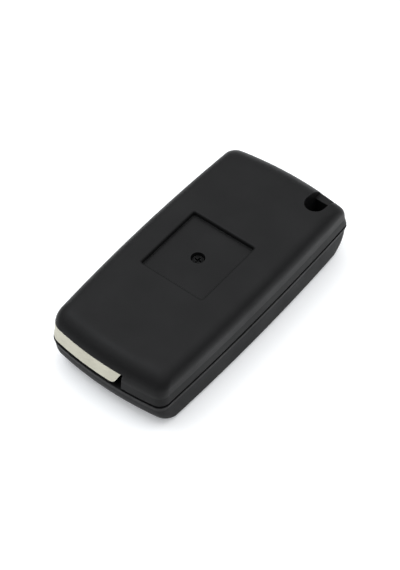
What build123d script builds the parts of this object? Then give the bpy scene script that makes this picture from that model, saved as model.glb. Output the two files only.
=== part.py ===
from build123d import *
import os
from math import cos, radians, sin, sqrt

# Folding key shell, in millimetres, lying on its button face with the back up.
# X runs along the case, from the hinge end at -X to the key ring end at +X. The blade folds away
# along the +Y side. The origin is in the middle of the case, on the surface that it lies on.

# Case
case_length = 68.0
case_width = 33.3
case_height = 15.8
seam_height = 8.0
seam_gap = 0.55
seam_edge = 0.2
wall = 1.5
draft = 0.3
back_hinge_reach = 5.3
back_tail_reach = 5.9
back_end_rise = 5.4
back_side_reach = 3.13
back_side_rise = 3.24
front_hinge_reach = 5.9
front_tail_reach = 7.4
front_end_rise = 6.3
front_side_reach = 1.8
front_side_rise = 1.2
least_shoulder = 0.3

# Corners: how far the ends and the sides have bowed in at each, and its radius at the seam
tail_blade_end_bow = 1.75
tail_blade_side_bow = 0.95
tail_blade_radius = 3.3
hinge_blade_end_bow = 1.6
hinge_blade_side_bow = 1.1
hinge_blade_radius = 3.8
hinge_near_end_bow = 1.4
hinge_near_side_bow = 0.8
hinge_near_radius = 2.6
tail_near_end_bow = 1.25
tail_near_side_bow = 0.7
tail_near_radius = 1.3
tail_near_back_radius = 6.0
least_corner_radius = 1.0

# Tongue and rabbet behind the seam
rabbet_inset = 0.75
rabbet_depth = 1.0
tongue_clearance = 0.05

# Hinge: the head's hub turns in the front cover, its journal in the back cover
pivot_x = -25.5
pivot_y = 5.0
running_clearance = 0.05
hub_radius = 5.5
hub_floor_gap = 0.3
socket_wall = 1.3
journal_radius = 5.4
journal_height = 1.0
journal_end_gap = 0.2
arm_seam_gap = 0.375
arm_height = 3.5
arm_gap = 0.15
arm_side_y = 15.5
arm_front_y = -5.2
arm_front_slant = 1.6
arm_blade_y = 6.2
arm_hub_radius = 8.5
arm_corner_radius = 1.8
flush_gap = 0.05
sweep_radius = 13.0
sweep_gap = 0.3
partition_wall = 1.1

# Blade, its tang and the pin that holds it
blade_length = 45.0
blade_width = 8.5
blade_thickness = 2.4
blade_y = 11.2
blade_tip_length = 5.0
blade_tip_width = 3.4
blade_edge_chamfer = 0.3
blade_groove_width = 1.6
blade_groove_depth = 0.75
blade_groove_offset = 1.7
blade_groove_start = 3.0
blade_side_gap = 0.35
blade_end_gap = 0.6
tang_width = 5.2
tang_length = 5.2
tang_clearance = 0.05
pin_radius = 0.8
pin_bore_radius = 0.4
pin_slit = 0.3
pin_inset = 2.6
pin_recess = 0.1

# Release button, its spring and the cap behind it
button_radius = 4.1
button_clearance = 0.1
button_recess = 0.35
button_travel = 1.8
button_flange_reach = 0.5
button_flange_height = 0.8
button_flange_gap = 0.15
button_bore_clearance = 0.15
button_dish_radius = 3.2
button_dish_depth = 0.3
stem_radius = 1.6
stem_length = 8.2
stem_clearance = 0.1
lug_reach = 0.7
lug_width = 2.0
lug_clearance = 0.15
travel_gap = 0.4
chamber_radius = 4.0
spring_radius = 3.2
spring_wire_radius = 0.3
spring_turns = 5
spring_seat_gap = 0.02
cap_clearance = 0.1
cap_disc_height = 0.9
cap_tube_wall = 0.8
cap_tube_length = 3.4
cap_key_width = 5.0
cap_key_height = 0.7
cap_key_clearance = 0.05

# Keys, their openings and the mat behind them
key_row_x = -0.2
key_row_y = -0.8
key_pitch = 13.4
key_length = 6.6
key_width = 8.8
key_corner_radius = 2.2
key_clearance = 0.12
key_recess = 0.15
key_flange_reach = 0.4
key_flange_height = 0.6
key_flange_gap = 0.1
key_travel = 0.5
key_mark_size = 2.4
key_mark_width = 0.5
key_mark_depth = 0.15
panel_depth = 0.4
panel_margin = 1.4
panel_corner_radius = 3.4
mat_thickness = 0.6
mat_dome_gap = 0.25
mat_dome_wall = 0.5
mat_margin = 0.9
mat_clearance = 0.15

# Places for the coin cell and the transponder chip
cell_radius = 10.0
cell_clearance = 0.3
cell_x = 12.5
cell_y = -5.0
cell_rib = 1.0
cell_rib_bottom = 10.0
chip_length = 12.0
chip_width = 4.6
chip_rib = 0.8
chip_rib_height = 3.0
chip_x = -4.0
chip_y = -11.1

# Ribs under the blade
blade_rib = 1.0
blade_rib_pitch = 9.5
blade_rib_count = 4
blade_rib_start = -7.0

# Battery clips, drawn outwards from the middle of the cell
clip_thickness = 0.3
clip_width = 3.2
clip_bend = 0.6
clip_leg_gap = 0.15
clip_foot_start = 5.6
clip_foot_end = 9.6
clip_stake_radius = 0.6
clip_stake_clearance = 0.05
clip_stake_height = 0.6
clip_stake_place = 7.8
positive_clip_angle = 35.0
positive_clip_end = 9.7
negative_clip_angle = -30.0
negative_clip_tip = 0.6
negative_clip_drop = 2.0

# Badge recess, with the screw in its middle
badge_x = -0.1
badge_y = 0.65
badge_length = 18.2
badge_width = 16.6
badge_depth = 1.2
badge_blade_gap = 0.3
badge_corner_radius = 0.4
badge_edge_fillet = 0.6
screw_hole_radius = 1.6
screw_head_radius = 1.3
screw_head_height = 1.0
screw_head_recess = 0.8
screw_shank_radius = 0.95
screw_tip_height = 4.5
screw_shank_clearance = 0.12
screw_thread_clearance = 0.02
screw_cross_length = 1.7
screw_cross_width = 0.5
screw_cross_depth = 0.7
boss_meeting_height = 10.0
back_boss_radius = 2.8
front_boss_radius = 2.0

# Key ring slot in the back cover, with a sunk bar at its end, and the bore in the front cover
ring_slot_x = 27.3
ring_slot_y = -10.35
ring_slot_radius = 2.4
ring_bore_radius = 2.2
ring_boss_wall = 1.3
ring_bar_x = 31.0
ring_bar_height = 12.5

# Heights and places that follow from the sizes above
front_rim = seam_height - seam_gap / 2
back_rim = seam_height + seam_gap / 2
roof = case_height - wall
rabbet_floor = front_rim - rabbet_depth
arm_bottom = back_rim + arm_seam_gap
arm_top = arm_bottom + arm_height
window_top = arm_top + arm_gap
window_side_y = 2 * pivot_y - arm_side_y - arm_gap
sweep_clear = sweep_radius + sweep_gap
blade_root_x = 2 * pivot_x + case_length / 2
blade_bottom = arm_bottom + (arm_height - blade_thickness) / 2
blade_top = blade_bottom + blade_thickness
upper_groove_floor = blade_top - blade_groove_depth
channel_end_x = blade_root_x + blade_length + blade_end_gap
channel_y = blade_y - blade_width / 2 - blade_side_gap
bay_y = channel_y - partition_wall
hub_front = wall + hub_floor_gap
flange_radius = button_radius + button_flange_reach
flange_bottom = wall + button_flange_gap
flange_top = flange_bottom + button_flange_height
hub_bore_radius = flange_radius + button_bore_clearance
hub_bore_end = flange_top + button_travel + travel_gap
journal_top = window_top + journal_height
socket_top = journal_top + journal_end_gap
cap_disc_bottom = journal_top - cap_disc_height
cap_key_top = journal_top + cap_key_height
tube_bore_radius = stem_radius + stem_clearance
tube_radius = tube_bore_radius + cap_tube_wall
stem_room = flange_top + stem_length + button_travel + travel_gap
badge_underside = blade_top + badge_blade_gap
badge_floor = case_height - badge_depth
screw_head_top = badge_floor - screw_head_recess
screw_seat = screw_head_top - screw_head_height
ring_boss_radius = ring_slot_radius + ring_boss_wall
key_flange_top = wall + key_flange_gap + key_flange_height
dome_inside = key_flange_top + key_travel + mat_dome_gap
key_names = ("lock_key", "boot_key", "unlock_key")
key_places = [(key_row_x + key_pitch * (step - 0.5), key_row_y) for step in range(3)]
blade_rib_places = [blade_rib_start + blade_rib_pitch * step for step in range(blade_rib_count)]
beyond = case_length
pivot = (pivot_x, pivot_y)
screw_place = (badge_x, badge_y)
pivot_axis = Axis((pivot_x, pivot_y, 0), (0, 0, 1))


# Outer form of the case

def drawn_in(rise, reach, full_rise):
    """How far an elliptical shoulder has drawn in at a rise above its start."""
    share = min(max(rise / full_rise, 0), 1)
    return reach * (1 - sqrt(1 - share**2))


def outline(height, hinge_inset, tail_inset, side_inset, corner_radii):
    """One level of the case: bowed sides and ends with rounded corners."""
    hinge_x = hinge_inset - case_length / 2
    tail_x = case_length / 2 - tail_inset
    side_y = case_width / 2 - side_inset
    tail_blade = (tail_x - tail_blade_end_bow, side_y - tail_blade_side_bow)
    hinge_blade = (hinge_x + hinge_blade_end_bow, side_y - hinge_blade_side_bow)
    hinge_near = (hinge_x + hinge_near_end_bow, hinge_near_side_bow - side_y)
    tail_near = (tail_x - tail_near_end_bow, tail_near_side_bow - side_y)
    corners = (tail_blade, hinge_blade, hinge_near, tail_near)
    with BuildSketch(Plane.XY.offset(height)) as level:
        with BuildLine():
            ThreePointArc(hinge_near, (0, -side_y), tail_near)
            ThreePointArc(tail_near, (tail_x, 0), tail_blade)
            ThreePointArc(tail_blade, (0, side_y), hinge_blade)
            ThreePointArc(hinge_blade, (hinge_x, 0), hinge_near)
        make_face()
        for place, radius in zip(corners, corner_radii):
            corner = level.vertices().sort_by_distance(place)[0]
            fillet(corner, radius)
    return level.sketch


def radii_at(inset):
    """The corner radii of an outline that is drawn in by an inset."""
    radii = (tail_blade_radius, hinge_blade_radius, hinge_near_radius, tail_near_radius)
    return [max(radius - inset, least_corner_radius) for radius in radii]


def half_form(rim, face, reaches, rises, face_radius, inset, edge):
    """Half of the case from a rim near the seam, eased by an edge, to its flat face, with an inset."""
    way = 1 if face > rim else -1
    depth = abs(face - seam_height) - inset
    hinge_reach, tail_reach, side_reach = [max(size - inset, least_shoulder) for size in reaches]
    end_rise, side_rise = [max(size - inset, least_shoulder) for size in rises]
    end_start = depth - end_rise
    side_start = depth - side_rise
    lean_start = seam_gap / 2
    rim_radii = radii_at(inset)
    face_radii = radii_at(inset + draft + side_reach)
    face_radii[-1] = max(face_radius - inset, least_corner_radius)

    def level(distance, eased=0.0):
        lean = draft * min(max((distance - lean_start) / (end_start - lean_start), 0), 1) + eased
        hinge_inset = inset + lean + drawn_in(distance - end_start, hinge_reach, end_rise)
        tail_inset = inset + lean + drawn_in(distance - end_start, tail_reach, end_rise)
        side_inset = inset + lean + drawn_in(distance - side_start, side_reach, side_rise)
        share = (side_inset - inset - eased) / (draft + side_reach)
        radii = [first + (last - first) * share for first, last in zip(rim_radii, face_radii)]
        return outline(seam_height + way * distance, hinge_inset, tail_inset, side_inset, radii)

    rim_start = (rim - seam_height) * way
    breaks = (rim_start + edge, min(end_start, side_start), max(end_start, side_start), depth)
    with BuildPart() as form:
        if edge:
            loft([level(rim_start, edge), level(rim_start + edge)], ruled=True)
        for low, high, steps in zip(breaks, breaks[1:], (1, 4, 8)):
            turns = [radians(90 * step / steps) for step in range(steps + 1)]
            loft([level(low + (high - low) * sin(turn)) for turn in turns], ruled=steps == 1)
    return form.part


def back_form(rim, inset=0.0, edge=0.0):
    """The back cover's form above a rim."""
    reaches = (back_hinge_reach, back_tail_reach, back_side_reach)
    rises = (back_end_rise, back_side_rise)
    return half_form(rim, case_height, reaches, rises, tail_near_back_radius, inset, edge)


def front_form(rim, inset=0.0):
    """The front cover's form below a rim."""
    reaches = (front_hinge_reach, front_tail_reach, front_side_reach)
    rises = (front_end_rise, front_side_rise)
    return half_form(rim, 0, reaches, rises, least_corner_radius, inset, edge=0.0)


def block(x_low, x_high, y_low, y_high, z_low, z_high):
    """A plain block between two corners, for cuts."""
    with BuildPart() as solid:
        with BuildSketch(Plane.XY.offset(z_low)):
            with Locations(((x_low + x_high) / 2, (y_low + y_high) / 2)):
                Rectangle(x_high - x_low, y_high - y_low)
        extrude(amount=z_high - z_low)
    return solid.part


def blade_opening(low, high):
    """The window at the hinge end and the slot along the blade's side, between two heights."""
    with BuildPart() as opening:
        add(block(-beyond, pivot_x, window_side_y, beyond, low, high))
        add(block(-beyond, channel_end_x, channel_y, beyond, low, high))
    return opening.part


def seam_ring(outer_inset, inner_inset, low, high):
    """A ring inside the case wall, left open where the blade and the head pass."""
    with BuildPart() as ring:
        with BuildSketch(Plane.XY.offset(low)):
            add(outline(0, outer_inset, outer_inset, outer_inset, radii_at(outer_inset)))
            inside = outline(0, inner_inset, inner_inset, inner_inset, radii_at(inner_inset))
            add(inside, mode=Mode.SUBTRACT)
        extrude(amount=high - low)
        add(blade_opening(low, high), mode=Mode.SUBTRACT)
    return ring.part


def hollows(inner_form, low, high, hinge_core=None):
    """The bay, the hinge well (round a core) and the blade's channel, between two heights."""
    with BuildPart() as bay:
        with BuildSketch(Plane.XY.offset(low)):
            with Locations((0, bay_y - beyond / 2)):
                Rectangle(2 * beyond, beyond)
            with Locations(pivot):
                Circle(sweep_clear + partition_wall, mode=Mode.SUBTRACT)
            with Locations((ring_slot_x, ring_slot_y)):
                Circle(ring_boss_radius, mode=Mode.SUBTRACT)
            with Locations((ring_slot_x + beyond / 2, ring_slot_y)):
                Rectangle(beyond, 2 * ring_boss_radius, mode=Mode.SUBTRACT)
        extrude(amount=high - low)
        with BuildSketch(Plane.XY.offset(low)):
            with Locations(pivot):
                Circle(sweep_clear)
                if hinge_core:
                    Circle(hinge_core, mode=Mode.SUBTRACT)
        extrude(amount=high - low)
        with BuildSketch(Plane.XY.offset(low)):
            with Locations(((pivot_x + channel_end_x) / 2, channel_y + beyond / 2)):
                Rectangle(channel_end_x - pivot_x, beyond)
            with Locations(pivot):
                Circle(sweep_clear, mode=Mode.SUBTRACT)
        extrude(amount=high - low)
        add(inner_form, mode=Mode.INTERSECT)
    return bay.part


def clip_plane(angle):
    """A plane through the middle of the cell: outwards along its first axis, up along its second."""
    turn = radians(angle)
    return Plane((cell_x, cell_y, 0), x_dir=(cos(turn), sin(turn), 0), z_dir=(sin(turn), -cos(turn), 0))


# Back cover: moulded shell with the badge recess, the screw's seat, the hinge's back socket, the
# coin cell's rim, the key ring slot and the tongue that locates it in the front cover

with BuildPart() as back_cover:
    add(back_form(back_rim, edge=seam_edge))
    inner_form = back_form(front_rim - wall, wall)
    back_socket = journal_radius + running_clearance + socket_wall
    add(hollows(inner_form, front_rim, window_top), mode=Mode.SUBTRACT)
    add(hollows(inner_form, window_top, case_height, back_socket), mode=Mode.SUBTRACT)
    add(blade_opening(front_rim, window_top), mode=Mode.SUBTRACT)
    with BuildSketch(Plane.XY.offset(back_rim)):
        with Locations(pivot):
            Circle(sweep_clear)
    extrude(amount=window_top - back_rim, mode=Mode.SUBTRACT)
    add(seam_ring(rabbet_inset + tongue_clearance, wall, rabbet_floor, back_rim))
    # Roof under the badge recess
    add(
        block(
            badge_x - badge_length / 2 - wall,
            badge_x + badge_length / 2 + wall,
            badge_y - badge_width / 2 - wall,
            badge_y + badge_width / 2 + wall,
            badge_underside,
            roof,
        )
    )
    # Screw boss
    with BuildSketch(Plane.XY.offset(boss_meeting_height)):
        with Locations(screw_place):
            Circle(back_boss_radius)
    extrude(amount=badge_underside - boss_meeting_height)
    # Rim that holds the coin cell
    with BuildSketch(Plane.XY.offset(cell_rib_bottom)):
        with Locations((cell_x, cell_y)):
            Circle(cell_radius + cell_clearance + cell_rib)
            Circle(cell_radius + cell_clearance, mode=Mode.SUBTRACT)
        with Locations((cell_x, bay_y + beyond / 2)):
            Rectangle(beyond, beyond, mode=Mode.SUBTRACT)
        with Locations((cell_x, wall - case_width / 2 - beyond / 2)):
            Rectangle(beyond, beyond, mode=Mode.SUBTRACT)
    extrude(amount=roof - cell_rib_bottom)
    # Stakes for the battery clips
    for angle in (positive_clip_angle, negative_clip_angle):
        with BuildSketch(Plane.XY.offset(roof - clip_thickness - clip_stake_height)):
            with Locations((cell_x, cell_y)):
                with PolarLocations(clip_stake_place, 1, angle):
                    Circle(clip_stake_radius)
        extrude(amount=clip_thickness + clip_stake_height)
    # Gap in the rim for the positive clip's leg
    leg_gap_depth = clip_thickness + clip_leg_gap - cell_clearance
    with BuildSketch(clip_plane(positive_clip_angle)):
        with Locations((cell_radius + cell_clearance, cell_rib_bottom)):
            Rectangle(2 * leg_gap_depth, 2 * (roof - cell_rib_bottom))
    extrude(amount=clip_width / 2 + clip_leg_gap, both=True, mode=Mode.SUBTRACT)
    # Badge recess with the screw's counterbore in its floor
    with BuildSketch(Plane.XY.offset(badge_floor)):
        with Locations((badge_x, badge_y)):
            RectangleRounded(badge_length, badge_width, badge_corner_radius)
    extrude(amount=case_height - badge_floor, mode=Mode.SUBTRACT)
    badge_mouth = back_cover.faces().sort_by(Axis.Z)[-1].inner_wires()[0]
    fillet(badge_mouth.edges(), badge_edge_fillet)
    shank_hole_radius = screw_shank_radius + screw_shank_clearance
    with Locations(Plane((badge_x, badge_y, badge_floor))):
        CounterBoreHole(shank_hole_radius, screw_hole_radius, badge_floor - screw_seat)
    # Sockets for the head's journal and the cap's key
    with BuildSketch(Plane.XY.offset(window_top)):
        with Locations(pivot):
            Circle(journal_radius + running_clearance)
    extrude(amount=socket_top - window_top, mode=Mode.SUBTRACT)
    with BuildSketch(Plane.XY.offset(socket_top)):
        with Locations(pivot):
            Rectangle(cap_key_width + 2 * cap_key_clearance, cap_key_width + 2 * cap_key_clearance)
    extrude(amount=cap_key_top - socket_top, mode=Mode.SUBTRACT)
    # Key ring slot, and the cut that sinks the bar between the slot and the case's end
    with BuildSketch(Plane.XY.offset(front_rim)):
        with Locations((ring_slot_x, ring_slot_y)):
            Circle(ring_slot_radius)
        with Locations(((ring_slot_x + ring_bar_x) / 2, ring_slot_y)):
            Rectangle(ring_bar_x - ring_slot_x, 2 * ring_slot_radius)
    extrude(amount=case_height, mode=Mode.SUBTRACT)
    with BuildSketch(Plane.XY.offset(ring_bar_height)):
        with Locations((ring_bar_x + beyond / 2, ring_slot_y)):
            Rectangle(beyond, 2 * ring_slot_radius)
    extrude(amount=case_height, mode=Mode.SUBTRACT)
back_cover.part.label = "back_cover"


# Front cover: moulded tray with the button and key openings, the hinge's front socket, the screw
# boss, ribs under the blade and a pocket for the transponder chip

with BuildPart() as front_cover:
    add(front_form(front_rim))
    inner_form = front_form(back_rim + wall, wall)
    front_socket = hub_radius + running_clearance + socket_wall
    add(hollows(inner_form, 0, back_rim, front_socket), mode=Mode.SUBTRACT)
    add(seam_ring(rabbet_inset, wall + rabbet_inset, rabbet_floor, back_rim), mode=Mode.SUBTRACT)
    # Boss round the key ring bore, up to the back cover's boss
    with BuildSketch(Plane.XY.offset(rabbet_floor)):
        with Locations((ring_slot_x, ring_slot_y)):
            Circle(ring_boss_radius - rabbet_inset)
    extrude(amount=back_rim - rabbet_floor)
    # Screw boss
    with BuildSketch(Plane.XY.offset(wall)):
        with Locations(screw_place):
            Circle(front_boss_radius)
    extrude(amount=boss_meeting_height - wall)
    with BuildSketch(Plane.XY.offset(screw_tip_height - travel_gap)):
        with Locations(screw_place):
            Circle(screw_shank_radius + screw_thread_clearance)
    extrude(amount=case_height, mode=Mode.SUBTRACT)
    # Ribs under the blade
    with BuildSketch(Plane.XY.offset(wall)):
        with Locations([(x, (channel_y + case_width / 2 - wall) / 2) for x in blade_rib_places]):
            Rectangle(blade_rib, case_width / 2 - channel_y)
    extrude(amount=front_rim - wall)
    # Pocket for the transponder chip
    with BuildSketch(Plane.XY.offset(wall)):
        with Locations((chip_x, chip_y)):
            Rectangle(chip_length + 2 * chip_rib, chip_width + 2 * chip_rib)
            Rectangle(chip_length, chip_width, mode=Mode.SUBTRACT)
    extrude(amount=chip_rib_height)
    # Socket that the head's hub turns in, and the release button's opening
    with BuildSketch(Plane.XY.offset(wall)):
        with Locations(pivot):
            Circle(hub_radius + running_clearance)
    extrude(amount=case_height, mode=Mode.SUBTRACT)
    with BuildSketch():
        with Locations(pivot):
            Circle(button_radius + button_clearance)
    extrude(amount=wall, mode=Mode.SUBTRACT)
    # Sunk panel with the key openings
    panel_length = 2 * key_pitch + key_length + 2 * panel_margin
    with BuildSketch():
        with Locations(key_places[1]):
            RectangleRounded(panel_length, key_width + 2 * panel_margin, panel_corner_radius)
    extrude(amount=panel_depth, mode=Mode.SUBTRACT)
    with BuildSketch():
        with Locations(key_places):
            RectangleRounded(
                key_length + 2 * key_clearance,
                key_width + 2 * key_clearance,
                key_corner_radius + key_clearance,
            )
    extrude(amount=wall, mode=Mode.SUBTRACT)
    # Key ring bore
    with BuildSketch():
        with Locations((ring_slot_x, ring_slot_y)):
            Circle(ring_bore_radius)
    extrude(amount=case_height, mode=Mode.SUBTRACT)
front_cover.part.label = "front_cover"


# Flip head: one zinc casting with the hub, the journal, the arm that holds the blade and a bore
# for the release button, the spring and the cap

with BuildPart() as flip_head:
    with BuildSketch(Plane.XY.offset(arm_bottom)):
        with Locations(pivot):
            Circle(arm_hub_radius)
        with Locations((pivot_x, (arm_blade_y + arm_side_y) / 2)):
            Rectangle(beyond, arm_side_y - arm_blade_y)
    extrude(amount=arm_height)
    with BuildSketch(Plane.YZ.offset(pivot_x)) as strip:
        with BuildLine():
            Polyline(
                (arm_front_y, arm_top),
                (arm_front_y + arm_front_slant, arm_bottom),
                (arm_side_y, arm_bottom),
                (arm_side_y, arm_top),
                close=True,
            )
        make_face()
        lower_corner = strip.vertices().sort_by_distance((pivot_x, arm_front_y, arm_bottom))[0]
        fillet(lower_corner, arm_corner_radius)
    extrude(amount=-beyond)
    flush_form = back_form(back_rim, flush_gap)
    add(flush_form, mode=Mode.INTERSECT)
    add(flush_form.rotate(pivot_axis, 180), mode=Mode.INTERSECT)
    # Hub in front, journal behind
    with BuildSketch(Plane.XY.offset(hub_front)):
        with Locations(pivot):
            Circle(hub_radius)
    extrude(amount=arm_bottom - hub_front)
    with BuildSketch(Plane.XY.offset(arm_top)):
        with Locations(pivot):
            Circle(journal_radius)
    extrude(amount=journal_top - arm_top)
    # Bores for the button and for the spring
    with BuildSketch(Plane.XY.offset(hub_front)):
        with Locations(pivot):
            Circle(hub_bore_radius)
    extrude(amount=hub_bore_end - hub_front, mode=Mode.SUBTRACT)
    with BuildSketch(Plane.XY.offset(hub_bore_end)):
        with Locations(pivot):
            Circle(chamber_radius)
    extrude(amount=case_height, mode=Mode.SUBTRACT)
    # Slots that guide the button's lugs
    with BuildSketch(Plane.XY.offset(hub_front)):
        with Locations(pivot):
            Rectangle(beyond, lug_width + 2 * lug_clearance)
    extrude(amount=hub_bore_end - hub_front, mode=Mode.SUBTRACT)
    # Pocket for the blade's tang, and the pin's hole
    add(
        block(
            blade_root_x - tang_length - tang_clearance,
            beyond,
            blade_y - tang_width / 2 - tang_clearance,
            blade_y + tang_width / 2 + tang_clearance,
            blade_bottom - tang_clearance,
            blade_bottom + blade_thickness + tang_clearance,
        ),
        mode=Mode.SUBTRACT,
    )
    with BuildSketch(Plane.XY.offset(arm_bottom)):
        with Locations((blade_root_x - pin_inset, blade_y)):
            Circle(pin_radius)
    extrude(amount=arm_height, mode=Mode.SUBTRACT)
flip_head.part.label = "flip_head"


# Key blade: uncut steel blank with a milled groove in each face, its tang in the head

with BuildPart() as key_blade:
    with BuildSketch(Plane.XY.offset(blade_bottom)):
        with BuildLine():
            Polyline(
                (blade_root_x, blade_y - blade_width / 2),
                (blade_root_x + blade_length - blade_tip_length, blade_y - blade_width / 2),
                (blade_root_x + blade_length, blade_y - blade_tip_width / 2),
                (blade_root_x + blade_length, blade_y + blade_tip_width / 2),
                (blade_root_x + blade_length - blade_tip_length, blade_y + blade_width / 2),
                (blade_root_x, blade_y + blade_width / 2),
                close=True,
            )
        make_face()
    extrude(amount=blade_thickness)
    # Chamfers on every long edge and round the tip, but not at the root
    face_edges = key_blade.edges().filter_by(Axis.Z, reverse=True)
    chamfer(face_edges.sort_by(Axis.X)[2:], blade_edge_chamfer)
    # Milled grooves
    for side, groove_bottom in ((-1, upper_groove_floor), (1, blade_bottom)):
        groove_y = blade_y + side * blade_groove_offset
        with BuildSketch(Plane.XY.offset(groove_bottom)):
            with Locations((blade_root_x + blade_groove_start + beyond / 2, groove_y)):
                Rectangle(beyond, blade_groove_width)
        extrude(amount=blade_groove_depth, mode=Mode.SUBTRACT)
    # Tang with the pin's hole
    with BuildSketch(Plane.XY.offset(blade_bottom)):
        with Locations((blade_root_x - tang_length / 2, blade_y)):
            Rectangle(tang_length, tang_width)
    extrude(amount=blade_thickness)
    with BuildSketch(Plane.XY.offset(arm_bottom)):
        with Locations((blade_root_x - pin_inset, blade_y)):
            Circle(pin_radius)
    extrude(amount=arm_height, mode=Mode.SUBTRACT)
key_blade.part.label = "key_blade"


# Blade roll pin: rolled spring steel with a slit, driven through the head and the tang

with BuildPart() as blade_roll_pin:
    with BuildSketch(Plane.XY.offset(arm_bottom + pin_recess)):
        with Locations((blade_root_x - pin_inset, blade_y)):
            Circle(pin_radius)
            Circle(pin_bore_radius, mode=Mode.SUBTRACT)
        with Locations((blade_root_x - pin_inset, blade_y + pin_radius)):
            Rectangle(pin_slit, 2 * pin_radius, mode=Mode.SUBTRACT)
    extrude(amount=arm_height - 2 * pin_recess)
blade_roll_pin.part.label = "blade_roll_pin"


# Release button: moulded, dished for the thumb, with two lugs and a stem for the cap's tube

with BuildPart() as release_button:
    with BuildSketch(Plane.XY.offset(button_recess)):
        with Locations(pivot):
            Circle(button_radius)
    extrude(amount=flange_bottom - button_recess)
    with BuildSketch(Plane.XY.offset(flange_bottom)):
        with Locations(pivot):
            Circle(flange_radius)
            Rectangle(2 * (hub_radius - lug_clearance), lug_width)
    extrude(amount=button_flange_height)
    with BuildSketch(Plane.XY.offset(flange_top)):
        with Locations(pivot):
            Circle(stem_radius)
    extrude(amount=stem_length)
    dish_radius = (button_dish_radius**2 + button_dish_depth**2) / (2 * button_dish_depth)
    with Locations((pivot_x, pivot_y, button_recess + button_dish_depth - dish_radius)):
        Sphere(dish_radius, mode=Mode.SUBTRACT)
release_button.part.label = "release_button"


# Flip spring: steel wire wound round the cap's tube, between the button and the cap

with BuildPart() as flip_spring:
    spring_bottom = flange_top + spring_wire_radius + spring_seat_gap
    spring_height = cap_disc_bottom - spring_wire_radius - spring_seat_gap - spring_bottom
    spring_foot = (pivot_x, pivot_y, spring_bottom)
    with BuildLine():
        coil = Helix(spring_height / spring_turns, spring_height, spring_radius, spring_foot)
    with BuildSketch(Plane(coil @ 0, z_dir=coil % 0)):
        Circle(spring_wire_radius)
    sweep(is_frenet=True)
flip_spring.part.label = "flip_spring"


# Spring cap: turned plug, keyed into the back cover, with a tube that guides the button's stem

with BuildPart() as spring_cap:
    with BuildSketch(Plane.XY.offset(cap_disc_bottom - cap_tube_length)):
        with Locations(pivot):
            Circle(tube_radius)
    extrude(amount=cap_tube_length)
    with BuildSketch(Plane.XY.offset(cap_disc_bottom)):
        with Locations(pivot):
            Circle(chamber_radius - cap_clearance)
    extrude(amount=cap_disc_height)
    with BuildSketch(Plane.XY.offset(journal_top)):
        with Locations(pivot):
            Rectangle(cap_key_width, cap_key_width)
    extrude(amount=cap_key_height)
    with BuildSketch(Plane.XY.offset(cap_disc_bottom - cap_tube_length)):
        with Locations(pivot):
            Circle(tube_bore_radius)
    extrude(amount=stem_room - cap_disc_bottom + cap_tube_length, mode=Mode.SUBTRACT)
spring_cap.part.label = "spring_cap"


# Case screw: self-tapping, its head sunk below the badge recess, with a cross recess

with BuildPart() as case_screw:
    with BuildSketch(Plane.XY.offset(screw_tip_height)):
        with Locations(screw_place):
            Circle(screw_shank_radius)
    extrude(amount=screw_seat - screw_tip_height)
    with BuildSketch(Plane.XY.offset(screw_seat)):
        with Locations(screw_place):
            Circle(screw_head_radius)
    extrude(amount=screw_head_height)
    with BuildSketch(Plane.XY.offset(screw_head_top - screw_cross_depth)):
        with Locations(screw_place):
            Rectangle(screw_cross_length, screw_cross_width)
            Rectangle(screw_cross_width, screw_cross_length)
    extrude(amount=screw_cross_depth, mode=Mode.SUBTRACT)
case_screw.part.label = "case_screw"


# Keys: hard plastic caps that come through the front cover, each with a mark to tell it by touch

def key_cap(place):
    """A key with its flange, at its place on the front cover."""
    with BuildPart() as cap:
        with BuildSketch(Plane.XY.offset(key_recess)):
            with Locations(place):
                RectangleRounded(key_length, key_width, key_corner_radius)
        extrude(amount=key_flange_top - key_recess)
        with BuildSketch(Plane.XY.offset(key_flange_top - key_flange_height)):
            with Locations(place):
                RectangleRounded(
                    key_length + 2 * key_flange_reach,
                    key_width + 2 * key_flange_reach,
                    key_corner_radius + key_flange_reach,
                )
        extrude(amount=key_flange_height)
        fillet(cap.faces().sort_by(Axis.Z)[0].edges(), key_recess)
    return cap.part


with BuildPart() as lock_key:
    add(key_cap(key_places[0]))
    with BuildSketch(Plane.XY.offset(key_recess)):
        with Locations(key_places[0]):
            SlotOverall(key_mark_size, key_mark_width)
    extrude(amount=key_mark_depth, mode=Mode.SUBTRACT)
lock_key.part.label = "lock_key"

with BuildPart() as boot_key:
    add(key_cap(key_places[1]))
    with BuildSketch(Plane.XY.offset(key_recess)):
        with Locations(key_places[1]):
            Circle(key_mark_width)
    extrude(amount=key_mark_depth, mode=Mode.SUBTRACT)
boot_key.part.label = "boot_key"

with BuildPart() as unlock_key:
    add(key_cap(key_places[2]))
    with BuildSketch(Plane.XY.offset(key_recess)):
        with Locations(key_places[2]):
            Circle(key_mark_size / 2)
            Circle(key_mark_size / 2 - key_mark_width, mode=Mode.SUBTRACT)
    extrude(amount=key_mark_depth, mode=Mode.SUBTRACT)
unlock_key.part.label = "unlock_key"


# Button mat: silicone sheet on the front cover's floor, with a dome over each key

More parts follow.
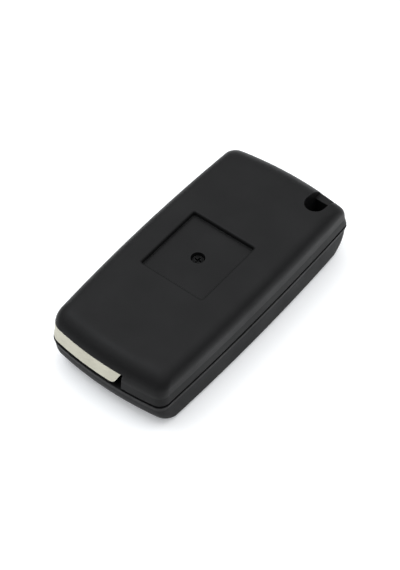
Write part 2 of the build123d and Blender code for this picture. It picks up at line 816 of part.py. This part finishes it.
with BuildPart() as button_mat:
    dome_length = key_length + 2 * (key_flange_reach + mat_dome_gap)
    dome_width = key_width + 2 * (key_flange_reach + mat_dome_gap)
    dome_corner = key_corner_radius + key_flange_reach + mat_dome_gap
    with BuildSketch(Plane.XY.offset(wall)):
        with Locations(key_places[1]):
            RectangleRounded(
                2 * key_pitch + dome_length + 2 * (mat_dome_wall + mat_margin),
                dome_width + 2 * (mat_dome_wall + mat_margin),
                dome_corner,
            )
        with Locations((key_row_x, bay_y - mat_clearance + beyond / 2)):
            Rectangle(2 * beyond, beyond, mode=Mode.SUBTRACT)
        with Locations(screw_place):
            Circle(front_boss_radius + mat_clearance, mode=Mode.SUBTRACT)
        with Locations((ring_slot_x, ring_slot_y)):
            Circle(ring_boss_radius + mat_clearance, mode=Mode.SUBTRACT)
        with Locations(pivot):
            Circle(sweep_clear + partition_wall + mat_clearance, mode=Mode.SUBTRACT)
    extrude(amount=mat_thickness)
    with BuildSketch(Plane.XY.offset(wall)):
        with Locations(key_places):
            RectangleRounded(
                dome_length + 2 * mat_dome_wall,
                dome_width + 2 * mat_dome_wall,
                dome_corner + mat_dome_wall,
            )
        with Locations(screw_place):
            Circle(front_boss_radius + mat_clearance, mode=Mode.SUBTRACT)
    extrude(amount=dome_inside + mat_dome_wall - wall)
    with BuildSketch(Plane.XY.offset(wall)):
        with Locations(key_places):
            RectangleRounded(dome_length, dome_width, dome_corner)
    extrude(amount=dome_inside - wall, mode=Mode.SUBTRACT)
button_mat.part.label = "button_mat"


# Battery clips: bent spring strips staked to the back cover's roof

foot_height = roof - clip_thickness / 2
leg_place = cell_radius + clip_thickness / 2

with BuildPart() as positive_battery_clip:
    with BuildSketch(clip_plane(positive_clip_angle)):
        with BuildLine():
            FilletPolyline(
                (clip_foot_start, foot_height),
                (leg_place, foot_height),
                (leg_place, positive_clip_end),
                radius=clip_bend,
            )
        trace(line_width=clip_thickness)
    extrude(amount=clip_width / 2, both=True)
    with BuildSketch(Plane.XY.offset(roof - clip_thickness)):
        with Locations((cell_x, cell_y)):
            with PolarLocations(clip_stake_place, 1, positive_clip_angle):
                Circle(clip_stake_radius + clip_stake_clearance)
    extrude(amount=clip_thickness, mode=Mode.SUBTRACT)
positive_battery_clip.part.label = "positive_battery_clip"

with BuildPart() as negative_battery_clip:
    with BuildSketch(clip_plane(negative_clip_angle)):
        with BuildLine():
            FilletPolyline(
                (clip_foot_end, foot_height),
                (clip_foot_start, foot_height),
                (negative_clip_tip, foot_height - negative_clip_drop),
                (-negative_clip_tip, foot_height - negative_clip_drop + clip_thickness),
                radius=clip_bend,
            )
        trace(line_width=clip_thickness)
    extrude(amount=clip_width / 2, both=True)
    with BuildSketch(Plane.XY.offset(roof - clip_thickness)):
        with Locations((cell_x, cell_y)):
            with PolarLocations(clip_stake_place, 1, negative_clip_angle):
                Circle(clip_stake_radius + clip_stake_clearance)
    extrude(amount=clip_thickness, mode=Mode.SUBTRACT)
negative_battery_clip.part.label = "negative_battery_clip"


# One file for each piece

os.makedirs("parts", exist_ok=True)
export_step(back_cover.part, "parts/back_cover.step")
export_step(front_cover.part, "parts/front_cover.step")
export_step(flip_head.part, "parts/flip_head.step")
export_step(key_blade.part, "parts/key_blade.step")
export_step(blade_roll_pin.part, "parts/blade_roll_pin.step")
export_step(release_button.part, "parts/release_button.step")
export_step(flip_spring.part, "parts/flip_spring.step")
export_step(spring_cap.part, "parts/spring_cap.step")
export_step(case_screw.part, "parts/case_screw.step")
export_step(lock_key.part, "parts/lock_key.step")
export_step(boot_key.part, "parts/boot_key.step")
export_step(unlock_key.part, "parts/unlock_key.step")
export_step(button_mat.part, "parts/button_mat.step")
export_step(positive_battery_clip.part, "parts/positive_battery_clip.step")
export_step(negative_battery_clip.part, "parts/negative_battery_clip.step")
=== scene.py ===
# Folding key shell, finished piece by piece in the order in which it goes together. Each section
# holds one piece or a group of like pieces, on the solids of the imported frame.

from math import radians

import bpy
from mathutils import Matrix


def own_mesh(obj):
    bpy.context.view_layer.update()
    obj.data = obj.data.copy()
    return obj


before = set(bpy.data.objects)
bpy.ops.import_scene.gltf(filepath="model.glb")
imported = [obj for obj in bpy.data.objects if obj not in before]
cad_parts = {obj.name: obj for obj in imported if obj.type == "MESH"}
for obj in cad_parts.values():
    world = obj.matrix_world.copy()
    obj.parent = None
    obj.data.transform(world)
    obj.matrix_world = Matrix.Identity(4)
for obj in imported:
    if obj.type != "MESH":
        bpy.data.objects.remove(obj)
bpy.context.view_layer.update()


# Back cover. Injection-moulded black plastic with a fine spark-eroded skin, which handling has
# polished a little along the edges. The badge recess, the screw's well and the notch for the key
# ring are moulded in.

CASE_BLACK = (0.0075, 0.0075, 0.0078)
CASE_WORN = (0.0115, 0.0115, 0.0119)
CASE_RUBBED = (0.036, 0.036, 0.038)
CASE_CELLS = 4200.0
CASE_SKIN_DEPTH = 0.000014


def start_group(name, inputs, outputs):
    """A node group with named inputs, each with its usual value, and named outputs."""
    tree = bpy.data.node_groups.new(name, "ShaderNodeTree")
    for label, usual in inputs.items():
        socket = tree.interface.new_socket(label, in_out="INPUT", socket_type="NodeSocketFloat")
        socket.default_value = usual
    for label in outputs:
        tree.interface.new_socket(label, in_out="OUTPUT", socket_type="NodeSocketFloat")
    return tree, tree.nodes.new("NodeGroupInput").outputs, tree.nodes.new("NodeGroupOutput").inputs


def feed(tree, socket, source):
    """A link from another socket, or a plain number, into a socket."""
    if isinstance(source, bpy.types.NodeSocket):
        tree.links.new(source, socket)
    else:
        socket.default_value = source


def combine(tree, kind, first, second):
    """Two sockets or numbers, put together by a math node of a kind."""
    node = tree.nodes.new("ShaderNodeMath")
    node.operation = kind
    feed(tree, node.inputs[0], first)
    feed(tree, node.inputs[1], second)
    return node.outputs[0]


def part_of(tree, mask, share):
    """A mask, weakened to a share of itself."""
    return combine(tree, "MULTIPLY", mask, share)


def spread(tree, source, low, high, start=0.0, end=1.0):
    """A value that runs from low to high while its source runs from start to end."""
    node = tree.nodes.new("ShaderNodeMapRange")
    node.inputs["From Min"].default_value = start
    node.inputs["From Max"].default_value = end
    node.inputs["To Min"].default_value = low
    node.inputs["To Max"].default_value = high
    tree.links.new(source, node.inputs["Value"])
    return node.outputs["Result"]


def tinted(tree, mask, ground, tint):
    """The ground colour, turned to the tint where the mask is 1."""
    node = tree.nodes.new("ShaderNodeMix")
    node.data_type = "RGBA"
    colour_inputs = [socket for socket in node.inputs if socket.type == "RGBA"]
    tree.links.new(mask, node.inputs[0])
    for socket, colour in zip(colour_inputs, (ground, tint)):
        feed(tree, socket, colour if isinstance(colour, bpy.types.NodeSocket) else (*colour, 1.0))
    return next(socket for socket in node.outputs if socket.type == "RGBA")


def noise(tree, place, cells_per_metre, detail=3.0, roughness=0.55):
    """Cloudy noise over a place, with so many cells to the metre."""
    node = tree.nodes.new("ShaderNodeTexNoise")
    node.inputs["Detail"].default_value = detail
    node.inputs["Roughness"].default_value = roughness
    tree.links.new(place, node.inputs["Vector"])
    feed(tree, node.inputs["Scale"], cells_per_metre)
    return node.outputs[0]


def object_place(tree):
    """The place on the piece, in metres, in the piece's own axes."""
    return tree.nodes.new("ShaderNodeTexCoord").outputs["Object"]


def combine_vectors(tree, kind, first, second):
    """A vector math node of a kind, on a socket and a second socket or fixed vector."""
    node = tree.nodes.new("ShaderNodeVectorMath")
    node.operation = kind
    tree.links.new(first, node.inputs[0])
    feed(tree, node.inputs[1], second)
    return node.outputs["Value" if kind == "DOT_PRODUCT" else "Vector"]


def eased_normal(tree, radius, samples=6):
    """The surface's normal, with its edges eased by a radius in metres."""
    node = tree.nodes.new("ShaderNodeBevel")
    node.samples = samples
    feed(tree, node.inputs["Radius"], radius)
    return node.outputs["Normal"]


def true_normal(tree):
    """The surface's own normal."""
    return tree.nodes.new("ShaderNodeNewGeometry").outputs["Normal"]


# Moulded skin: small pits of two sizes, as a spark-eroded mould leaves them
FINE_PITS_TO_COARSE = 2.7
FINE_PITS_DEPTH = 0.45
skin_group, given, made = start_group("moulded skin", {"Cells per metre": CASE_CELLS}, ["Height"])
place = object_place(skin_group)
coarse = noise(skin_group, place, given["Cells per metre"], detail=2.0)
fine_cells = combine(skin_group, "MULTIPLY", given["Cells per metre"], FINE_PITS_TO_COARSE)
fine = noise(skin_group, place, fine_cells, detail=1.0)
skin_group.links.new(
    combine(skin_group, "ADD", coarse, part_of(skin_group, fine, FINE_PITS_DEPTH)), made["Height"]
)

# Handling: soft clouds where fingers have rested, and small specks between them
SPECKS_PER_METRE = 1900.0
handling_group, given, made = start_group(
    "handling", {"Cells per metre": 90.0}, ["Clouds", "Specks"]
)
place = object_place(handling_group)
clouds = noise(handling_group, place, given["Cells per metre"], detail=4.0)
specks = noise(handling_group, place, SPECKS_PER_METRE, detail=2.0, roughness=0.7)
handling_group.links.new(
    spread(handling_group, clouds, 0.0, 1.0, start=0.36, end=0.66), made["Clouds"]
)
handling_group.links.new(
    spread(handling_group, specks, 0.0, 1.0, start=0.66, end=0.80), made["Specks"]
)

# Edge rub: a mask of the outer edges, broken up as wear is
rub_group, given, made = start_group(
    "edge rub", {"Width": 0.0004, "Breaks per metre": 800.0}, ["Mask"]
)
turned_away = combine_vectors(
    rub_group, "DOT_PRODUCT", eased_normal(rub_group, given["Width"]), true_normal(rub_group)
)
edge = spread(rub_group, turned_away, 1.0, 0.0, start=0.80, end=0.995)
clouds = noise(rub_group, object_place(rub_group), given["Breaks per metre"], detail=4.0)
breaks = spread(rub_group, clouds, 0.0, 1.0, start=0.38, end=0.62)
rub_group.links.new(combine(rub_group, "MULTIPLY", edge, breaks), made["Mask"])


def place_group(tree, group, **values):
    """A shared group in a material, with the material's own values on its inputs."""
    node = tree.nodes.new("ShaderNodeGroup")
    node.node_tree = group
    for label, number in values.items():
        node.inputs[label.replace("_", " ")].default_value = number
    return node.outputs


def start_material(name):
    """A material's node tree and its shader."""
    material = bpy.data.materials.new(name)
    material.use_nodes = True
    return material, material.node_tree, material.node_tree.nodes["Principled BSDF"]


def relief(tree, shader, height, depth, edge_radius):
    """Bump of a real depth on the shader, over edges eased by a radius, both in metres."""
    bump = tree.nodes.new("ShaderNodeBump")
    bump.inputs["Distance"].default_value = depth
    tree.links.new(height, bump.inputs["Height"])
    tree.links.new(eased_normal(tree, edge_radius), bump.inputs["Normal"])
    tree.links.new(bump.outputs["Normal"], shader.inputs["Normal"])


CLOUD_TINT = 0.35
SPECK_TINT = 0.25
RUB_TINT = 0.45
RUB_POLISH = 0.10
MOULDED_EDGE = 0.00014


def moulded_plastic(name, colours, roughness, skin, rub_width, specular):
    """Moulded plastic: ground, handled and rubbed colours, a roughness range and a skin depth."""
    material, tree, shader = start_material(name)
    ground, handled, rubbed = colours
    cells, depth = skin
    height = place_group(tree, skin_group, Cells_per_metre=cells)["Height"]
    hands = place_group(tree, handling_group)
    mask = place_group(tree, rub_group, Width=rub_width)["Mask"]
    body = tinted(tree, part_of(tree, hands["Clouds"], CLOUD_TINT), ground, handled)
    body = tinted(tree, part_of(tree, hands["Specks"], SPECK_TINT), body, handled)
    body = tinted(tree, part_of(tree, mask, RUB_TINT), body, rubbed)
    tree.links.new(body, shader.inputs["Base Color"])
    shine = spread(tree, hands["Clouds"], roughness[1], roughness[0])
    shine = combine(tree, "SUBTRACT", shine, part_of(tree, mask, RUB_POLISH))
    tree.links.new(shine, shader.inputs["Roughness"])
    shader.inputs["Specular IOR Level"].default_value = specular
    relief(tree, shader, height, depth, MOULDED_EDGE)
    return material


def finish_piece(node, material):
    """The material goes on one of the frame's own solids."""
    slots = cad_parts[node].data.materials
    slots.clear()
    slots.append(material)


finish_piece(
    "back_cover",
    moulded_plastic(
        "case_plastic_back",
        colours=(CASE_BLACK, CASE_WORN, CASE_RUBBED),
        roughness=(0.38, 0.46),
        skin=(CASE_CELLS, CASE_SKIN_DEPTH),
        rub_width=0.00035,
        specular=0.11,
    ),
)


# Front cover. The same plastic from another mould, whose walls are a little coarser. Its rim has a
# tongue's seat, and it carries the socket that the head turns in.

FRONT_BLACK = (0.0078, 0.0078, 0.0081)
finish_piece(
    "front_cover",
    moulded_plastic(
        "case_plastic_front",
        colours=(FRONT_BLACK, CASE_WORN, CASE_RUBBED),
        roughness=(0.50, 0.58),
        skin=(3400.0, 0.000016),
        rub_width=0.00035,
        specular=0.12,
    ),
)


# Flip head. Zinc casting, blasted and then plated a warm white, with brighter metal where the
# edges have rubbed.

ZINC_PLATE = (0.50, 0.485, 0.405)
ZINC_SHADE = (0.42, 0.405, 0.335)
ZINC_BRIGHT = (0.68, 0.665, 0.58)
ZINC_SKIN_CELLS = 6500.0
ZINC_SKIN_DEPTH = 0.000007
ZINC_CLOUD_TINT = 0.5
ZINC_SPECK_TINT = 0.4
ZINC_RUB_POLISH = 0.12

zinc_material, tree, shader = start_material("plated_zinc")
hands = place_group(tree, handling_group, Cells_per_metre=140.0)
mask = place_group(tree, rub_group, Width=0.0003, Breaks_per_metre=1500.0)["Mask"]
body = tinted(tree, part_of(tree, hands["Clouds"], ZINC_CLOUD_TINT), ZINC_PLATE, ZINC_SHADE)
body = tinted(tree, part_of(tree, hands["Specks"], ZINC_SPECK_TINT), body, ZINC_SHADE)
tree.links.new(tinted(tree, mask, body, ZINC_BRIGHT), shader.inputs["Base Color"])
shine = spread(tree, hands["Clouds"], 0.42, 0.50)
shine = combine(tree, "SUBTRACT", shine, part_of(tree, mask, ZINC_RUB_POLISH))
tree.links.new(shine, shader.inputs["Roughness"])
shader.inputs["Metallic"].default_value = 1.0
skin = place_group(tree, skin_group, Cells_per_metre=ZINC_SKIN_CELLS)["Height"]
relief(tree, shader, skin, ZINC_SKIN_DEPTH, edge_radius=0.00012)
finish_piece("flip_head", zinc_material)


# Key blade. Uncut steel blank, milled along its length and tumbled, so that the cutter's lines
# run from the root to the tip.

STEEL_RUBBED = (0.86, 0.86, 0.85)
STEEL_CLOUD_TINT = 0.3

lines_group, given, made = start_group(
    "cutter lines", {"Lines per metre": 9000.0, "Stretch": 0.012}, ["Height"]
)
along = lines_group.nodes.new("ShaderNodeCombineXYZ")
lines_group.links.new(given["Stretch"], along.inputs["X"])
along.inputs["Y"].default_value = 1.0
along.inputs["Z"].default_value = 1.0
squeezed = combine_vectors(
    lines_group, "MULTIPLY", object_place(lines_group), along.outputs["Vector"]
)
lines_group.links.new(
    noise(lines_group, squeezed, given["Lines per metre"], detail=4.0), made["Height"]
)


def lined_metal(name, ground, dulled, roughness, lines, depth):
    """Metal with fine lines along X, as milling, grinding or drawing leaves them."""
    material, tree, shader = start_material(name)
    height = place_group(tree, lines_group, Lines_per_metre=lines)["Height"]
    hands = place_group(tree, handling_group, Cells_per_metre=160.0)
    mask = place_group(tree, rub_group, Width=0.0002, Breaks_per_metre=1800.0)["Mask"]
    body = tinted(tree, height, dulled, ground)
    body = tinted(tree, part_of(tree, hands["Clouds"], STEEL_CLOUD_TINT), body, dulled)
    tree.links.new(tinted(tree, mask, body, STEEL_RUBBED), shader.inputs["Base Color"])
    tree.links.new(spread(tree, height, *roughness), shader.inputs["Roughness"])
    shader.inputs["Metallic"].default_value = 1.0
    relief(tree, shader, height, depth, edge_radius=0.00008)
    return material


finish_piece(
    "key_blade",
    lined_metal(
        "blade_steel",
        ground=(0.66, 0.65, 0.64),
        dulled=(0.48, 0.475, 0.46),
        roughness=(0.36, 0.24),
        lines=9000.0,
        depth=0.000006,
    ),
)


# Roll pin, flip spring and battery clips. Hard bright spring steel, drawn or rolled, with a light
# film of oil that has dulled it in patches. The release button's flange presses the spring up
# against its cap.

HINGE_AXIS = (-0.0255, 0.005, 0.0)

spring_steel = lined_metal(
    "spring_steel",
    ground=(0.58, 0.58, 0.57),
    dulled=(0.36, 0.355, 0.34),
    roughness=(0.40, 0.26),
    lines=14000.0,
    depth=0.000003,
)
for node in ("blade_roll_pin", "flip_spring", "positive_battery_clip", "negative_battery_clip"):
    finish_piece(node, spring_steel)
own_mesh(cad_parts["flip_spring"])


# Release button. Satin black moulding, dished for the thumb. Its mould was polished, so its skin is
# finer and shinier than the case's.

finish_piece(
    "release_button",
    moulded_plastic(
        "button_plastic",
        colours=((0.017, 0.017, 0.018), (0.030, 0.030, 0.032), (0.07, 0.07, 0.075)),
        roughness=(0.28, 0.38),
        skin=(7000.0, 0.000004),
        rub_width=0.0003,
        specular=0.5,
    ),
)


# Spring cap. Turned from natural white acetal, so that fine rings run round the hinge's axis. It is
# keyed into the back cover, carries the spring's upper end and guides the release button's stem.

ACETAL = (0.74, 0.73, 0.69)
ACETAL_OILED = (0.66, 0.64, 0.58)
ACETAL_CLOUD_TINT = 0.6
TURNING_MARKS_DEPTH = 0.000004

cap_material, tree, shader = start_material("turned_acetal")
rings = tree.nodes.new("ShaderNodeTexWave")
rings.wave_type = "RINGS"
rings.rings_direction = "Z"
rings.inputs["Scale"].default_value = 1200.0
rings.inputs["Distortion"].default_value = 0.4
tree.links.new(
    combine_vectors(tree, "SUBTRACT", object_place(tree), HINGE_AXIS), rings.inputs["Vector"]
)
hands = place_group(tree, handling_group, Cells_per_metre=200.0)
body = tinted(tree, part_of(tree, hands["Clouds"], ACETAL_CLOUD_TINT), ACETAL, ACETAL_OILED)
tree.links.new(body, shader.inputs["Base Color"])
tree.links.new(spread(tree, rings.outputs["Fac"], 0.34, 0.44), shader.inputs["Roughness"])
relief(tree, shader, rings.outputs["Fac"], TURNING_MARKS_DEPTH, edge_radius=0.0001)
finish_piece("spring_cap", cap_material)


# Case screw. Self-tapping, dull black oxide over steel, which the driver has thinned a little
# round the cross.

OXIDE_BLACK = (0.0042, 0.0042, 0.0044)
OXIDE_WORN = (0.008, 0.008, 0.0083)
OXIDE_RUBBED = (0.05, 0.05, 0.049)
SCREW_SKIN_CELLS = 9000.0
SCREW_SKIN_DEPTH = 0.000004

screw_material, tree, shader = start_material("black_oxide")
hands = place_group(tree, handling_group, Cells_per_metre=500.0)
mask = place_group(tree, rub_group, Width=0.0002, Breaks_per_metre=3000.0)["Mask"]
body = tinted(tree, hands["Clouds"], OXIDE_BLACK, OXIDE_WORN)
tree.links.new(tinted(tree, mask, body, OXIDE_RUBBED), shader.inputs["Base Color"])
tree.links.new(spread(tree, hands["Clouds"], 0.42, 0.54), shader.inputs["Roughness"])
shader.inputs["Specular IOR Level"].default_value = 0.04
skin = place_group(tree, skin_group, Cells_per_metre=SCREW_SKIN_CELLS)["Height"]
relief(tree, shader, skin, SCREW_SKIN_DEPTH, edge_radius=0.00008)
finish_piece("case_screw", screw_material)


# Lock, boot and unlock keys. Hard black plastic caps, polished by thumbs, each with a sunk mark
# whose floor is filled with pale paint.

MARK_FLOOR_LOW = 0.00022
MARK_FLOOR_HIGH = 0.00040
FACING_DOWN = -0.9
MARK_PAINT = (0.62, 0.62, 0.60)

key_material = moulded_plastic(
    "key_plastic",
    colours=((0.018, 0.018, 0.019), (0.030, 0.030, 0.032), (0.06, 0.06, 0.065)),
    roughness=(0.32, 0.42),
    skin=(6000.0, 0.000005),
    rub_width=0.0003,
    specular=0.5,
)
tree = key_material.node_tree
shader = tree.nodes["Principled BSDF"]
axes = tree.nodes.new("ShaderNodeSeparateXYZ")
tree.links.new(object_place(tree), axes.inputs[0])
above = combine(tree, "GREATER_THAN", axes.outputs["Z"], MARK_FLOOR_LOW)
below = combine(tree, "LESS_THAN", axes.outputs["Z"], MARK_FLOOR_HIGH)
ways = tree.nodes.new("ShaderNodeSeparateXYZ")
tree.links.new(true_normal(tree), ways.inputs[0])
flat = combine(tree, "LESS_THAN", ways.outputs["Z"], FACING_DOWN)
paint = combine(tree, "MULTIPLY", combine(tree, "MULTIPLY", above, below), flat)
plain = shader.inputs["Base Color"].links[0].from_socket
tree.links.new(tinted(tree, paint, plain, MARK_PAINT), shader.inputs["Base Color"])
for node in ("lock_key", "boot_key", "unlock_key"):
    finish_piece(node, key_material)


# Button mat. Dark moulded silicone with a dome under each key, matt and a little dusty. It lies
# loose on the front cover's floor, behind the three keys.

SILICONE = (0.085, 0.085, 0.09)
SILICONE_PALE = (0.11, 0.11, 0.115)
DUST = (0.30, 0.29, 0.27)
DUST_TINT = 0.6
MAT_SKIN_CELLS = 3000.0
MAT_SKIN_DEPTH = 0.00001

mat_material, tree, shader = start_material("moulded_silicone")
hands = place_group(tree, handling_group, Cells_per_metre=220.0)
body = tinted(tree, hands["Clouds"], SILICONE, SILICONE_PALE)
body = tinted(tree, part_of(tree, hands["Specks"], DUST_TINT), body, DUST)
tree.links.new(body, shader.inputs["Base Color"])
tree.links.new(spread(tree, hands["Clouds"], 0.62, 0.78), shader.inputs["Roughness"])
shader.inputs["Subsurface Weight"].default_value = 0.12
shader.inputs["Subsurface Scale"].default_value = 0.0005
skin = place_group(tree, skin_group, Cells_per_metre=MAT_SKIN_CELLS)["Height"]
relief(tree, shader, skin, MAT_SKIN_DEPTH, edge_radius=0.00015)
finish_piece("button_mat", mat_material)


# Floor, light and camera, which aren't part of the shell. The floor is a pale table of lit white
# acrylic inside a white tent that is brightest overhead and open towards the camera, with one
# small softbox above the blade's side.

FLOOR_REACH = 4.0
FLOOR_CLOUDS_PER_METRE = 6.0
ACRYLIC = (0.86, 0.86, 0.86)
ACRYLIC_PALE = (0.88, 0.88, 0.88)

bpy.ops.mesh.primitive_plane_add(size=FLOOR_REACH, location=(0, 0, 0))
floor = bpy.context.object
floor.name = "floor"
floor_material, tree, shader = start_material("lit_acrylic")
clouds = noise(tree, object_place(tree), FLOOR_CLOUDS_PER_METRE, detail=2.0)
tree.links.new(tinted(tree, clouds, ACRYLIC, ACRYLIC_PALE), shader.inputs["Base Color"])
shader.inputs["Roughness"].default_value = 0.9
shader.inputs["Specular IOR Level"].default_value = 0.0
shader.inputs["Emission Color"].default_value = (0.94, 0.97, 1.0, 1.0)
shader.inputs["Emission Strength"].default_value = 0.22
floor.data.materials.append(floor_material)

softbox = bpy.data.objects.new("softbox", bpy.data.lights.new("softbox", "AREA"))
softbox.data.shape = "SQUARE"
softbox.data.size = 0.18
softbox.data.energy = 0.50
softbox.data.color = (0.88, 0.93, 1.0)
softbox.location = (-0.15, 0.28, 0.58)
softbox.rotation_euler = (radians(-25), radians(-14.5), 0)
bpy.context.scene.collection.objects.link(softbox)

OPEN_SIDE = (-0.85, -0.53, 0.0)

world = bpy.data.worlds.new("studio")
bpy.context.scene.world = world
world.use_nodes = True
tree = world.node_tree
backdrop = tree.nodes["Background"].inputs
way = tree.nodes.new("ShaderNodeTexCoord").outputs["Generated"]
way_up = tree.nodes.new("ShaderNodeSeparateXYZ")
tree.links.new(way, way_up.inputs[0])
tent = spread(tree, way_up.outputs["Z"], 0.3, 2.2, start=0.25, end=0.9)
towards_opening = combine_vectors(tree, "DOT_PRODUCT", way, OPEN_SIDE)
opening = spread(tree, towards_opening, 1.0, 0.35, start=0.1, end=0.75)
tree.links.new(combine(tree, "MULTIPLY", tent, opening), backdrop["Strength"])
backdrop["Color"].default_value = (0.98, 0.99, 1.0, 1.0)

CAMERA_HEIGHT_ANGLE = 50.948
CAMERA_TURN = -51.476

camera = bpy.data.objects.new("camera", bpy.data.cameras.new("camera"))
camera.data.lens = 130.3
camera.data.sensor_width = 36.0
camera.data.clip_start = 0.01
camera.location = (-0.2224, -0.1769, 0.3560)
camera.rotation_euler = (radians(90 - CAMERA_HEIGHT_ANGLE), 0, radians(CAMERA_TURN))
bpy.context.scene.collection.objects.link(camera)
bpy.context.scene.camera = camera
bpy.context.scene.view_settings.view_transform = "Standard"
